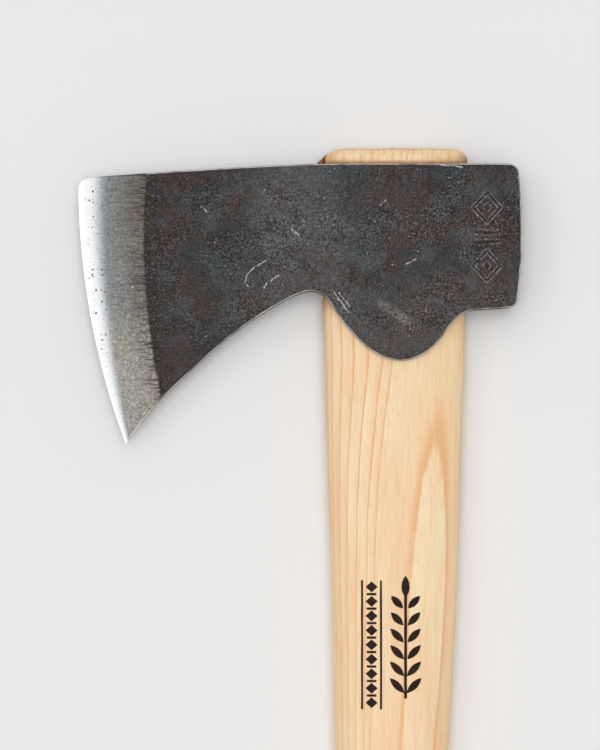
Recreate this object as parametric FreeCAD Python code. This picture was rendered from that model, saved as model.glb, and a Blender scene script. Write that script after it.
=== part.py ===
"""A small carving hatchet: a forged bearded head on a short curved wooden handle.

The hatchet lies on its side. +X points from the cutting edge to the poll, +Y from the butt of the
handle to the crown of the head, and +Z up through the cheeks. The origin is the bottom centre of
the bounding box, so the hatchet rests on the plane Z = 0.

Sizes are in millimetres. They are written in the head's own frame, which place() moves to the
part's frame: X = 0 on the centreline of the eye, Y = 0 on the crown of the head, and Z = 0 on the
mid-plane of the blade.

How it comes apart on a bench: axe_head, handle, wooden_wedge (driven into the handle's saw kerf
inside the eye) and steel_wedge (a three-legged wedge driven across both).
"""
import FreeCAD
import Part
import math
import os

from FreeCAD import Vector

# --- head, seen from the side -------------------------------------------------------------------
EDGE_RADIUS = 239.0          # the cutting edge is an arc of this radius
EDGE_CENTRE_X = 137.6        # and this centre
EDGE_CENTRE_Y = -5.4
TOE_TOP = (-97.2, -3.95)     # where the rounded toe meets the top line
TOE_EDGE_Y = -8.6            # where the rounded toe meets the cutting edge
TOE_BOW = 1.15               # the toe's arc passes this far from those two points, across and up
HEEL = (-86.2, -89.3)        # the sharp lower corner of the beard
CROWN_FRONT_X = -22.0        # the crown is level from here to the poll
POLL_TOP_X = 36.0
POLL_BACK = 40.0             # furthest point of the slightly crowned poll face
POLL_CORNER_TOP = (39.0, -3.4)
POLL_CORNER_LOW = (38.6, -43.2)
POLL_UNDERSIDE = (35.6, -45.8)
POLL_ROUND_TOP = (38.15, -0.95)    # middles of the rounded corners at both ends of the poll face
POLL_ROUND_LOW = (37.75, -45.1)
TOP_LINE = [(-80.0, -2.75), (-60.0, -1.45), (-40.0, -0.5)]
# the underside from the poll, round the lug that runs down the handle, to the heel of the beard
UNDERSIDE = [
    (26.5, -46.4), (21.2, -47.6), (17.0, -51.6), (12.0, -58.0), (7.0, -61.4), (1.5, -62.6),
    (-4.5, -61.3), (-10.0, -57.7), (-15.0, -52.6), (-20.0, -45.8), (-23.2, -41.7), (-27.0, -40.5),
    (-32.0, -41.8), (-41.0, -46.7), (-53.0, -55.0), (-65.0, -65.6), (-76.0, -76.1),
]

# --- head, half thicknesses ---------------------------------------------------------------------
CHEEK_HALF = 13.5            # flat cheeks over the eye, which the hatchet lies on
BULGE_HALF = 13.9            # what the cheeks would swell to, before they are flattened
BLADE_HALF = 3.35            # blade at the top of the ground bevel
POLL_HALF = 11.7
FLARE_FROM_X = -80.0         # the blade flares out to the eye between these
FLARE_TO_X = -8.0
FLARE_POWER = 1.45           # over 1, the blade stays thin for longer before it flares
BLADE_TAPER = 0.02           # half thickness lost per mm ahead of the flare
POLL_TAPER_FROM_X = 15.0
LUG_THINNING = 0.15          # share of the thickness lost from THIN_FROM_Y down to THIN_TO_Y
THIN_FROM_Y = -28.0
THIN_TO_Y = -66.0
GRID_STEP = 3.0              # the cheeks pass through thicknesses on a square grid of this step,
GRID_FROM = (-111.0, -99.0)  # which starts at this corner, outside the head,
GRID_COUNT = (54, 37)        # and has this many lines along X and Y
EDGE_LAND_HALF = 0.06        # what is left of the thickness at the cutting edge
HONED_WIDTH = 6.5            # convex honed strip along the edge
HONED_HALF = 1.5
BEVEL_WIDTH = 22.0           # flat ground bevel behind it
BEVEL_HALF = 3.6
HONED_MIDDLE = (0.45, 0.56)  # a point on the honed arc: share of its width and of its thickness
BEVEL_REACH = 200.0          # the ground faces go back this far from the edge, out of the head
BEVEL_HALF_SWEEP = 70.0      # and turn this far either way about the centre of the edge, degrees

# --- eye ----------------------------------------------------------------------------------------
# (Y, front X, back X, half width) of the hole, which widens towards the crown
EYE_TOP = (8.0, -25.6, 22.9, 9.7)
EYE_BOTTOM = (-64.0, -22.7, 22.0, 9.0)
EYE_SQUARENESS = 2.5         # exponent of the oval, 2 being an ellipse
EGG = 0.07                   # share by which the ovals narrow towards the front

# --- handle -------------------------------------------------------------------------------------
TONGUE_TOP_Y = 5.1           # the tongue stands this far out of the crown
TONGUE_FRONT_X = -22.5
NOSE_FROM_Y = -40.0          # the tongue is flat in front from here up
# the rounded end of the tongue, (X, Y) from its front corner over the top to its back corner
TONGUE_ROUND = [
    (-24.0, -0.5), (-21.9, 3.0), (-17.5, 4.8), (-2.0, TONGUE_TOP_Y), (19.0, 4.75), (21.7, 3.6),
    (23.2, 0.0),
]
# and seen from the front, (half thickness, Y) from the crown to the flat top
TONGUE_SHOULDER = [(10.5, 0.0), (8.2, 3.9), (5.2, TONGUE_TOP_Y)]
KERF_BOTTOM_Y = -43.0
KERF_HALF_TOP = 2.8          # the kerf, spread open by the wedge
KERF_HALF_BOTTOM = 0.6
BUTT_Y = -344.9
BUTT_CHAMFER = 2.2
# (Y, front X, back X, half thickness, squareness) down the handle, from the eye to the swell
GRIP_SECTIONS = [
    (-78.0, -22.3, 21.4, 9.6, 2.5),
    (-100.0, -21.6, 20.8, 10.5, 2.45),
    (-130.0, -20.5, 19.8, 11.2, 2.4),
    (-165.0, -19.7, 18.2, 11.7, 2.3),
    (-200.0, -19.0, 15.9, 12.0, 2.2),
    (-235.0, -18.1, 13.5, 12.0, 2.15),
    (-265.0, -17.8, 12.5, 12.0, 2.15),
    (-292.0, -19.2, 13.2, 12.3, 2.2),
    (-316.0, -22.6, 15.5, 12.9, 2.25),
    (-333.0, -24.8, 17.5, 13.35, 2.3),
    (BUTT_Y + BUTT_CHAMFER, -24.6, 18.1, 13.3, 2.3),
]
SECTION_POINTS = 28

# --- wedges -------------------------------------------------------------------------------------
WEDGE_TIP_Y = -40.0          # the wooden wedge stops short of the bottom of the kerf
# its front corner is pared off above the crown along these points
WEDGE_SLOPE = [(-25.4, 0.2), (-22.4, 3.0), (-19.9, 4.3), (-12.0, TONGUE_TOP_Y)]
STEEL_WEDGE_X = -1.0
STEEL_LEGS = 3
STEEL_FIRST_LEG = 30.0       # degrees from +X round to -Z
STEEL_LEG_LENGTH = 5.6
STEEL_LEG_HALF = 0.8
STEEL_TIP_HALF = 0.15
STEEL_DEPTH = 15.0

FAR = 80.0                   # reach of cutting blocks past the solid that they cut


def place(shape):
    """Moves a shape from the head's own frame to the part's frame."""
    edge_front = EDGE_CENTRE_X - EDGE_RADIUS
    middle = Vector((edge_front + POLL_BACK) / 2, (TONGUE_TOP_Y + BUTT_Y) / 2, -CHEEK_HALF)
    shape.translate(-middle)
    return shape


def flat(point, z=0.0):
    return Vector(point[0], point[1], z)


def edge_point(y):
    """The point of the cutting edge at this height."""
    dy = y - EDGE_CENTRE_Y
    return Vector(EDGE_CENTRE_X - math.sqrt(EDGE_RADIUS ** 2 - dy ** 2), y, 0)


def smooth(t):
    t = max(0.0, min(1.0, t))
    return t * t * (3 - 2 * t)


def arc(a, b, c):
    return Part.Arc(a, b, c).toShape()


def line(a, b):
    return Part.LineSegment(a, b).toShape()


def spline(points):
    curve = Part.BSplineCurve()
    curve.interpolate(points)
    return curve.toShape()


def prism(wire, start, length_vector):
    """The solid that a closed flat wire sweeps from start along length_vector."""
    solid = Part.Face(wire).extrude(length_vector)
    solid.translate(start)
    return solid


def head_outline():
    toe_edge = edge_point(TOE_EDGE_Y)
    toe_middle = Vector(toe_edge.x + TOE_BOW, TOE_TOP[1] - TOE_BOW, 0)
    crown_front = Vector(CROWN_FRONT_X, 0, 0)
    poll_top = Vector(POLL_TOP_X, 0, 0)
    poll_middle = Vector(POLL_BACK, (POLL_CORNER_TOP[1] + POLL_CORNER_LOW[1]) / 2, 0)
    underside = [flat(p) for p in UNDERSIDE] + [flat(HEEL)]
    return Part.Wire([
        arc(toe_edge, toe_middle, flat(TOE_TOP)),
        spline([flat(TOE_TOP)] + [flat(p) for p in TOP_LINE] + [crown_front]),
        line(crown_front, poll_top),
        arc(poll_top, flat(POLL_ROUND_TOP), flat(POLL_CORNER_TOP)),
        arc(flat(POLL_CORNER_TOP), poll_middle, flat(POLL_CORNER_LOW)),
        arc(flat(POLL_CORNER_LOW), flat(POLL_ROUND_LOW), flat(POLL_UNDERSIDE)),
        line(flat(POLL_UNDERSIDE), underside[0]),
        spline(underside),
        arc(flat(HEEL), edge_point((HEEL[1] + TOE_EDGE_Y) / 2), toe_edge),
    ])


def cheek_half(x, y):
    """Half thickness of the forged head before its cheeks are flattened and its bevel is ground."""
    if x < POLL_TAPER_FROM_X:
        t = (x - FLARE_FROM_X) / (FLARE_TO_X - FLARE_FROM_X)
        across = BLADE_HALF + (BULGE_HALF - BLADE_HALF) * smooth(max(t, 0.0) ** FLARE_POWER)
        across += BLADE_TAPER * min(x - FLARE_FROM_X, 0.0)
    else:
        t = (x - POLL_TAPER_FROM_X) / (POLL_BACK - POLL_TAPER_FROM_X)
        across = BULGE_HALF - (BULGE_HALF - POLL_HALF) * t * t
    return across * (1 - LUG_THINNING * smooth((y - THIN_FROM_Y) / (THIN_TO_Y - THIN_FROM_Y)))


def forged_cheeks():
    """The space between the two forged cheek surfaces."""
    columns = [GRID_FROM[0] + GRID_STEP * i for i in range(GRID_COUNT[0])]
    rows = [GRID_FROM[1] + GRID_STEP * j for j in range(GRID_COUNT[1])]
    heights = [[cheek_half(x, y) for y in rows] for x in columns]
    surface = Part.BSplineSurface()
    surface.interpolate(heights, columns[0], GRID_STEP, rows[0], GRID_STEP)
    below = surface.toShape().extrude(Vector(0, 0, -FAR))
    above = below.mirror(Vector(0, 0, 0), Vector(0, 0, 1))
    return below.common(above)


def ground_bevel():
    """A lens turned about the centre of the cutting edge: its rim is the edge."""
    slope = (BEVEL_HALF - HONED_HALF) / (BEVEL_WIDTH - HONED_WIDTH)
    profile = [
        (EDGE_RADIUS, EDGE_LAND_HALF),
        (EDGE_RADIUS - HONED_WIDTH * HONED_MIDDLE[0], HONED_HALF * HONED_MIDDLE[1]),
        (EDGE_RADIUS - HONED_WIDTH, HONED_HALF),
        (EDGE_RADIUS - BEVEL_REACH, HONED_HALF + slope * (BEVEL_REACH - HONED_WIDTH)),
    ]
    rim, honed, shoulder, inner = [Vector(-r, 0, z) for r, z in profile]
    foot_rim, foot_honed, foot_shoulder, foot_inner = [Vector(-r, 0, -z) for r, z in profile]
    wire = Part.Wire([
        arc(rim, honed, shoulder),
        line(shoulder, inner),
        line(inner, foot_inner),
        line(foot_inner, foot_shoulder),
        arc(foot_shoulder, foot_honed, foot_rim),
        line(foot_rim, rim),
    ])
    face = Part.Face(wire)
    face.rotate(Vector(0, 0, 0), Vector(0, 0, 1), -BEVEL_HALF_SWEEP)
    lens = face.revolve(Vector(0, 0, 0), Vector(0, 0, 1), 2 * BEVEL_HALF_SWEEP)
    lens.translate(Vector(EDGE_CENTRE_X, EDGE_CENTRE_Y, 0))
    return lens


def oval(y, front, back, half, squareness):
    """An egg-shaped closed section across the handle, with flattened sides."""
    middle, reach = (front + back) / 2, (back - front) / 2
    points = []
    for i in range(SECTION_POINTS):
        a = 2 * math.pi * i / SECTION_POINTS
        c, s = math.cos(a), math.sin(a)
        x = math.copysign(abs(c) ** (2 / squareness), c)
        z = math.copysign(abs(s) ** (2 / squareness), s)
        points.append(Vector(middle + reach * x, y, half * z * (1 + EGG * x)))
    curve = Part.BSplineCurve()
    curve.interpolate(Points=points, PeriodicFlag=True)
    return Part.Wire(curve.toShape())


def eye_core():
    """What fills the eye: the hole in the head, and the blank that the tongue is cut from."""
    top = oval(*EYE_TOP, EYE_SQUARENESS)
    bottom = oval(*EYE_BOTTOM, EYE_SQUARENESS)
    return Part.makeLoft([top, bottom], True, True)


def slab(half_top, half_bottom, top_y, bottom_y):
    """A tapered slab along the kerf, thick at the top."""
    corners = [(half_top, top_y), (half_bottom, bottom_y), (-half_bottom, bottom_y), (-half_top, top_y)]
    points = [Vector(-FAR, y, z) for z, y in corners]
    return prism(Part.makePolygon(points + points[:1]), Vector(0, 0, 0), Vector(2 * FAR, 0, 0))


def top_cap():
    """The space below the rounded end of the tongue, in side view and in front view."""
    round_end = [flat(p) for p in TONGUE_ROUND]
    low_front = Vector(round_end[0].x, -FAR, 0)
    low_back = Vector(round_end[-1].x, -FAR, 0)
    side = Part.Wire([
        line(low_front, round_end[0]),
        arc(*round_end[0:3]),
        arc(*round_end[2:5]),
        arc(*round_end[4:7]),
        line(round_end[-1], low_back),
        line(low_back, low_front),
    ])
    far_side = [Vector(0, y, -z) for z, y in TONGUE_SHOULDER]
    near_side = [Vector(0, y, z) for z, y in TONGUE_SHOULDER[::-1]]
    low_far = Vector(0, -FAR, far_side[0].z)
    low_near = Vector(0, -FAR, near_side[-1].z)
    front = Part.Wire([
        line(low_far, far_side[0]),
        arc(*far_side),
        line(far_side[-1], near_side[0]),
        arc(*near_side),
        line(near_side[-1], low_near),
        line(low_near, low_far),
    ])
    seen_from_side = prism(side, Vector(0, 0, -FAR), Vector(0, 0, 2 * FAR))
    seen_from_front = prism(front, Vector(-FAR, 0, 0), Vector(2 * FAR, 0, 0))
    return seen_from_side.common(seen_from_front)


def steel_wedge():
    """Three flat legs that meet on one line, each tapering to a chisel edge, driven in flush."""
    top_y = TONGUE_TOP_Y
    star = None
    for leg in range(STEEL_LEGS):
        corners = [
            (STEEL_LEG_HALF, top_y), (STEEL_TIP_HALF, top_y - STEEL_DEPTH),
            (-STEEL_TIP_HALF, top_y - STEEL_DEPTH), (-STEEL_LEG_HALF, top_y),
        ]
        points = [Vector(0, y, z) for z, y in corners]
        outline = Part.makePolygon(points + points[:1])
        blade = prism(outline, Vector(0, 0, 0), Vector(STEEL_LEG_LENGTH, 0, 0))
        blade.rotate(Vector(0, 0, 0), Vector(0, 1, 0), STEEL_FIRST_LEG + leg * 360 / STEEL_LEGS)
        star = blade if star is None else star.fuse(blade)
    star = star.removeSplitter()
    star.translate(Vector(STEEL_WEDGE_X, 0, 0))
    return star


def axe_head(eye):
    block = prism(head_outline(), Vector(0, 0, -FAR), Vector(0, 0, 2 * FAR))
    block = block.common(forged_cheeks()).common(ground_bevel())
    pressed_flat = Part.makeBox(4 * FAR, 4 * FAR, 2 * CHEEK_HALF, Vector(-2 * FAR, -3 * FAR, -CHEEK_HALF))
    return block.common(pressed_flat).cut(eye)


def wooden_wedge(eye):
    blank = eye.common(slab(KERF_HALF_TOP, KERF_HALF_BOTTOM, TONGUE_TOP_Y, KERF_BOTTOM_Y))
    slope = [flat(p, -FAR) for p in WEDGE_SLOPE]
    above = TONGUE_TOP_Y + FAR
    split_x = slope[-1].x
    pared = Part.makePolygon(slope + [
        Vector(split_x, above, -FAR), Vector(-FAR, above, -FAR), Vector(-FAR, slope[0].y, -FAR), slope[0],
    ])
    blank = blank.cut(prism(pared, Vector(0, 0, 0), Vector(0, 0, 2 * FAR)))
    floor = Part.makeBox(2 * FAR, FAR, 2 * FAR, Vector(-FAR, WEDGE_TIP_Y - FAR, -FAR))
    back = top_cap().common(Part.makeBox(FAR, 4 * FAR, 2 * FAR, Vector(split_x, -2 * FAR, -FAR)))
    front = Part.makeBox(FAR, 4 * FAR, 2 * FAR, Vector(split_x - FAR, -2 * FAR, -FAR))
    return blank.cut(floor).common(back.fuse(front))


def handle(eye):
    sections = [oval(*EYE_BOTTOM, EYE_SQUARENESS)]
    sections += [oval(*section) for section in GRIP_SECTIONS]
    y, front, back, half, squareness = GRIP_SECTIONS[-1]
    grip = Part.makeLoft(sections, True, False)
    rim = oval(*GRIP_SECTIONS[-1])
    inset = BUTT_CHAMFER
    face = oval(BUTT_Y, front + inset, back - inset, half - inset, squareness)
    butt = Part.makeLoft([rim, face], True, True)
    kerf = slab(KERF_HALF_TOP, KERF_HALF_BOTTOM, TONGUE_TOP_Y, KERF_BOTTOM_Y)
    nose = Part.makeBox(FAR, 3 * FAR, 2 * FAR, Vector(TONGUE_FRONT_X - FAR, NOSE_FROM_Y, -FAR))
    tongue = eye.common(top_cap()).cut(kerf).cut(nose)
    return tongue.fuse(grip).fuse(butt).removeSplitter()


def only_solid(shape):
    solids = shape.Solids
    assert len(solids) == 1, len(solids)
    return solids[0]


def main():
    os.makedirs("parts", exist_ok=True)
    eye = eye_core()
    star = steel_wedge()
    shapes = {
        "axe_head": axe_head(eye),
        "handle": handle(eye).cut(star),
        "wooden_wedge": wooden_wedge(eye).cut(star),
        "steel_wedge": star,
    }
    for name, shape in shapes.items():
        solid = place(only_solid(shape))
        assert solid.isValid(), name
        solid.exportStep(f"parts/{name}.step")
        box = solid.optimalBoundingBox(False, False)
        print(name, round(solid.Volume), [round(v, 2) for v in (
            box.XMin, box.XMax, box.YMin, box.YMax, box.ZMin, box.ZMax)])


main()
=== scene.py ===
"""The looks of a small carving hatchet that lies on its side on a pale floor.

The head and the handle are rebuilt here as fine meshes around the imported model, and the two
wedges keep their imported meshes. Sizes are in millimetres in the head's own frame: X = 0 on the
centreline of the eye, growing towards the poll, Y = 0 on the crown, growing upwards out of the
eye, and Z = 0 on the mid-plane of the blade. to_row() moves them to the row's frame, in metres.
"""
import math
from functools import reduce
from types import SimpleNamespace

import bmesh
import bpy
import numpy as np
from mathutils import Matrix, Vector, noise


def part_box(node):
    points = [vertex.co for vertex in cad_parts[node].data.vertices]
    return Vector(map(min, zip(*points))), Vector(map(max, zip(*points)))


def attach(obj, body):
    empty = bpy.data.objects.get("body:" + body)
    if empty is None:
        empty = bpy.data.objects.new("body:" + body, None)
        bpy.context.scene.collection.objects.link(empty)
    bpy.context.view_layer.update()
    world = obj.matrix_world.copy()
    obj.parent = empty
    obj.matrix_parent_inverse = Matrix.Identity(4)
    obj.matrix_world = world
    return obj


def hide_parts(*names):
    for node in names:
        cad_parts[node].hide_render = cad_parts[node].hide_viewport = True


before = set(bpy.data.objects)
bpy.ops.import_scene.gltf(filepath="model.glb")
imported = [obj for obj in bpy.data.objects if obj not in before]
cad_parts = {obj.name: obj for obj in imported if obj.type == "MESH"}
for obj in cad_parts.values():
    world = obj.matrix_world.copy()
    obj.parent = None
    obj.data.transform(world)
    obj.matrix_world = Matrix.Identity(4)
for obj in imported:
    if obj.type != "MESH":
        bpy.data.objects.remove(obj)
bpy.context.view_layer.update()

MM = 0.001
BODY = "hatchet"

# --- sizes of the shape, mm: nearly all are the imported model's own ---------------------------
EDGE_CENTRE = np.array([137.6, -5.4])    # the cutting edge is an arc about this point
EDGE_RADIUS = 239.0
HEEL = (-86.2, -89.3)    # the sharp lower corner of the beard
TOE_TOP, TOE_EDGE_Y = (-97.2, -3.95), -8.6  # where the rounded toe meets the top and the edge
TOE_BOW = 1.15    # its arc passes this far behind the lower of the two and below the upper one
CROWN_FRONT_X, POLL_TOP_X, POLL_BACK = -22.0, 36.0, 40.0
POLL_CORNER_TOP, POLL_CORNER_LOW = (39.0, -3.4), (38.6, -43.2)
POLL_ROUND_TOP, POLL_ROUND_LOW = (38.15, -0.95), (37.75, -45.1)    # middles of the rounded corners
POLL_UNDERSIDE = (35.6, -45.8)
TOP_LINE = [(-80.0, -2.75), (-60.0, -1.45), (-40.0, -0.5)]
UNDERSIDE = [
    (26.5, -46.4), (21.2, -47.6), (17.0, -51.6), (12.0, -58.0), (7.0, -61.4), (1.5, -62.6),
    (-4.5, -61.3), (-10.0, -57.7), (-15.0, -52.6), (-20.0, -45.8), (-23.2, -41.7), (-27.0, -40.5),
    (-32.0, -41.8), (-41.0, -46.7), (-53.0, -55.0), (-65.0, -65.6), (-76.0, -76.1),
]
CHEEK_HALF = 13.5
BULGE_HALF, BLADE_HALF, POLL_HALF = 13.9, 3.35, 11.7
FLAT_SOFTNESS = 0.06    # rounds the change from the swelling cheeks to their flats
FLARE_FROM_X, FLARE_TO_X, POLL_TAPER_FROM_X = -80.0, -8.0, 15.0
FLARE_POWER = 1.45    # over 1, the blade stays thin for longer before it flares
LUG_THINNING, THIN_FROM_Y, THIN_TO_Y = 0.15, -28.0, -66.0
EYE_TOP = (8.0, -25.6, 22.9, 9.7)
EYE_BOTTOM = (-64.0, -22.7, 22.0, 9.0)
EYE_SQUARENESS = 2.5
EGG = 0.07    # share by which the ovals narrow towards the front
TONGUE_TOP_Y, TONGUE_FRONT_X, NOSE_FROM_Y = 5.1, -22.5, -42.0
# Arcs over the top of the tongue: its front and its back in X and Y, and its sides in Z and Y
TONGUE_ARCS = [[(-24.0, -0.5), (-21.9, 3.0), (-17.5, 4.8)], [(23.2, 0.0), (21.7, 3.6), (19.0, 4.75)],
               [(10.5, 0.0), (8.2, 3.9), (5.2, TONGUE_TOP_Y)]]
KERF_BOTTOM_Y, KERF_HALVES = -43.0, (2.8, 0.6)   # half thickness of the kerf, at its top and bottom
STEEL_LEGS, STEEL_FIRST_LEG, STEEL_LEG_LENGTH, STEEL_DEPTH = 3, 30.0, 5.6, 15.0
STEEL_HALVES, STEEL_WEDGE_X = (0.8, 0.15), -1.0  # half thickness of a leg, at its top and its tip
BUTT_Y, BUTT_CHAMFER = -344.9, 2.2
# Y, front, back, half thickness and squareness of the oval at stations down the handle
GRIP_SECTIONS = [
    (-78.0, -22.3, 21.4, 9.6, 2.5),
    (-100.0, -21.6, 20.8, 10.5, 2.45),
    (-130.0, -20.5, 19.8, 11.2, 2.4),
    (-165.0, -19.7, 18.2, 11.7, 2.3),
    (-200.0, -19.0, 15.9, 12.0, 2.2),
    (-235.0, -18.1, 13.5, 12.0, 2.15),
    (-265.0, -17.8, 12.5, 12.0, 2.15),
    (-292.0, -19.2, 13.2, 12.3, 2.2),
    (-316.0, -22.6, 15.5, 12.9, 2.25),
    (-333.0, -24.8, 17.5, 13.35, 2.3),
    (BUTT_Y + BUTT_CHAMFER, -24.6, 18.1, 13.3, 2.3),
]

# --- looks of the head, mm ------------------------------------------------------------------
SHOULDER = [(-79.7, -2.75), (-80.3, -34.0), (-74.9, -75.0)]   # where the ground bevel stops
EDGE_LAND_HALF = 0.06
HONED_WIDTHS = [(-89.3, 1.0), (-83.0, 1.7), (-67.5, 3.4), (-48.0, 5.1), (-20.0, 6.2), (-4.0, 6.9)]
HONED_SLOPE_EDGE, HONED_SLOPE_BACK = 0.30, 0.16
BEVEL_BACK_HALF, BEVEL_BACK_SLOPE = 0.9, 0.118   # half thickness of the bevel at the shoulder
SHOULDER_FADE = 5.0    # how far behind the shoulder the cheek takes up its step
ARRIS = 0.9    # rounding of the outline of the cheeks
ARRIS_SHARE, BEVEL_ARRIS_SHARE = 0.3, 0.1    # its limits, as shares of the half thickness
ARRIS_ROWS, ARRIS_REACH = [0, 0.1, 0.28, 0.52, 0.82], 1.15    # where the mesh rows across it lie
EDGE_STEPS, BLADE_STEP, STAMP_STEP, ROW_STEP, WALL_STEPS = 18, 0.68, 0.36, 0.66, 12
MESH_HEIGHT = 64.0    # a middling height of the head, which the number of rows is set for
EYE_REACH = 22.0    # columns are even within this distance of the eye's centreline
NEAR_EDGE = 0.34    # share of the bevel's width that takes half of its columns
DENTS = [(11.0, 1, 1, 0.16), (4.2, 2, 2, 0.07)]  # hammer marks: size, seed, octaves and depth
PITS, PIT_START, PIT_DEPTH = (1.5, 3, 3), 0.25, 0.14
FORGED_FADE = 2.0    # how far behind the shoulder they reach their full depth
SIDE_SHIFT = 40.0    # how far each cheek is from the middle, in the noise
WALL_NOISE, WALL_HOLLOW, WALL_ROUGHNESS, WALL_FULL = (7.0, 4, 2), 0.10, 0.12, 12.0
STAMP_X, STAMP_DEPTH, STAMP_RIM, STAMP_SPREAD = 28.8, 0.32, 0.07, 0.45
STAMP_LOZENGES, STAMP_BARS = (-14.0, -32.5), (-21.9, -24.9)    # the heights of their centres
STAMP_OUTLINE, STAMP_HEART, STAMP_BAR = (4.3, 4.8), (1.3, 1.5), (4.2, 0.75)    # half sizes
STAMP_STROKE, STAMP_SOFT = (0.28, 0.32), 0.4

# --- looks of the handle, mm ----------------------------------------------------------------
MARK_CENTRE = (-1.2, -153.0)
MARK_HALF = (11.0, 23.0)
MARK_DEPTH, MARK_SOFT = 0.22, 0.22
STEM_X, STEM_HALF = 4.2, (0.42, 17.0)
TOP_LEAF_Y, TOP_LEAF = 18.5, (7.0, 2.6)    # length and width
LEAF_PAIRS, FIRST_PAIR_Y, PAIR_PITCH, LEAF_TILT = 6, -15.5, 5.3, 44
LEAF_LENGTH, LEAF_SHRINK, LEAF_WIDTH, LEAF_OFFSET = 6.6, 0.22, 2.2, (2.7, 2.6)
BORDER_X, RAIL_X, RAIL_HALF = -6.6, 3.0, (0.3, 20.5)
LOZENGES, FIRST_LOZENGE_Y, LOZENGE_PITCH = 9, -18.4, 4.6
LOZENGE_HALF, RUNG_HALF = (1.9, 1.7), (1.5, 0.32)
RING_STEP, MARK_STEP, RING_POINTS = 2.0, 0.2, 232
CROWDING, CROWDED_ANGLE, CROWDED_FADE = 3.2, 0.75, 0.35    # of points on the upper face
TONGUE_CLEARANCE = 0.06    # between the tongue and the eye
END_SHARE = 0.08    # the innermost ring of a flat end, as a share of the outermost
PLANED, PLANED_UNEVENLY, PLANED_NOISE = 0.004, 0.002, (14.0, 7)
KERF_REACH, CUTTER_REACH = 40.0, 4.0    # of the kerf's slab each way along X, and of slabs past their top
EYE_CUT_Y = (-72.0, 10.0)
SHARP_ANGLE = 38    # edges sharper than this, in degrees, aren't shaded smooth

# --- the frame ------------------------------------------------------------------------------
head_low, head_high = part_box("axe_head")
origin = np.array([
    head_low.x - (EDGE_CENTRE[0] - EDGE_RADIUS) * MM,
    head_high.y,
    (head_low.z + head_high.z) / 2,
])


def to_row(points):
    return np.asarray(points, float) * MM + origin


def smooth(t):
    t = np.clip(t, 0.0, 1.0)
    return t * t * (3 - 2 * t)


# --- curves ---------------------------------------------------------------------------------
def spline(points, per_span=24):
    """A natural cubic spline through the points, spaced by chord, as a fine polyline."""
    p = np.asarray(points, float)
    t = np.concatenate([[0], np.cumsum(np.linalg.norm(np.diff(p, axis=0), axis=1))])
    spans = [np.linspace(a, b, per_span, endpoint=False) for a, b in zip(t, t[1:])]
    fine = np.concatenate(spans + [t[-1:]])
    return cubic(t, p, fine)


def cubic(t, p, fine):
    """Natural cubic interpolation of the rows p, known at t, to the values fine."""
    n, h = len(t), np.diff(t)
    system, right = np.eye(n), np.zeros_like(p)
    for i in range(1, n - 1):
        system[i, i - 1:i + 2] = h[i - 1], 2 * (h[i - 1] + h[i]), h[i]
        right[i] = 6 * ((p[i + 1] - p[i]) / h[i] - (p[i] - p[i - 1]) / h[i - 1])
    bend = np.linalg.solve(system, right)
    k = np.clip(np.searchsorted(t, fine, side="right") - 1, 0, n - 2)
    a, b = (t[k + 1] - fine)[:, None], (fine - t[k])[:, None]
    hk = h[k][:, None]
    return (bend[k] * a ** 3 + bend[k + 1] * b ** 3) / (6 * hk) \
        + (p[k] / hk - bend[k] * hk / 6) * a + (p[k + 1] / hk - bend[k + 1] * hk / 6) * b


def arc(a, b, c, count=24):
    """The circular arc from a through b to c, as a polyline."""
    a, b, c = (np.asarray(p, float) for p in (a, b, c))
    lines = 2 * np.array([b - a, c - a])
    centre = np.linalg.solve(lines, [b @ b - a @ a, c @ c - a @ a])
    radius = np.linalg.norm(a - centre)
    turn = [math.atan2(*(p - centre)[::-1]) for p in (a, b, c)]
    to_b, to_c = ((x - turn[0]) % (2 * math.pi) for x in turn[1:])
    sweep = to_c if to_b < to_c else to_c - 2 * math.pi
    angles = turn[0] + np.linspace(0, sweep, count)
    return centre + radius * np.column_stack([np.cos(angles), np.sin(angles)])


def chain(*pieces):
    """One polyline from several that meet end to end."""
    return np.concatenate([pieces[0]] + [np.asarray(p)[1:] for p in pieces[1:]])


def along(line, share):
    """Points of a polyline at shares of its length."""
    length = np.concatenate([[0], np.cumsum(np.linalg.norm(np.diff(line, axis=0), axis=1))])
    at = np.asarray(share) * length[-1]
    return np.stack([np.interp(at, length, line[:, k]) for k in (0, 1)], axis=-1)


def part_of(line, x_from, x_to):
    """The stretch of a polyline between two X values. X grows along it."""
    inside = line[(line[:, 0] > x_from) & (line[:, 0] < x_to)]
    ends = [[x, np.interp(x, line[:, 0], line[:, 1])] for x in (x_from, x_to)]
    return np.concatenate([ends[:1], inside, ends[1:]])


def edge_point(y):
    return (EDGE_CENTRE[0] - math.sqrt(EDGE_RADIUS ** 2 - (y - EDGE_CENTRE[1]) ** 2), y)


def halves(line):
    """The two halves of a polyline with an odd number of points. They share the middle one."""
    middle = len(line) // 2
    return line[:middle + 1], line[middle:]


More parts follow.
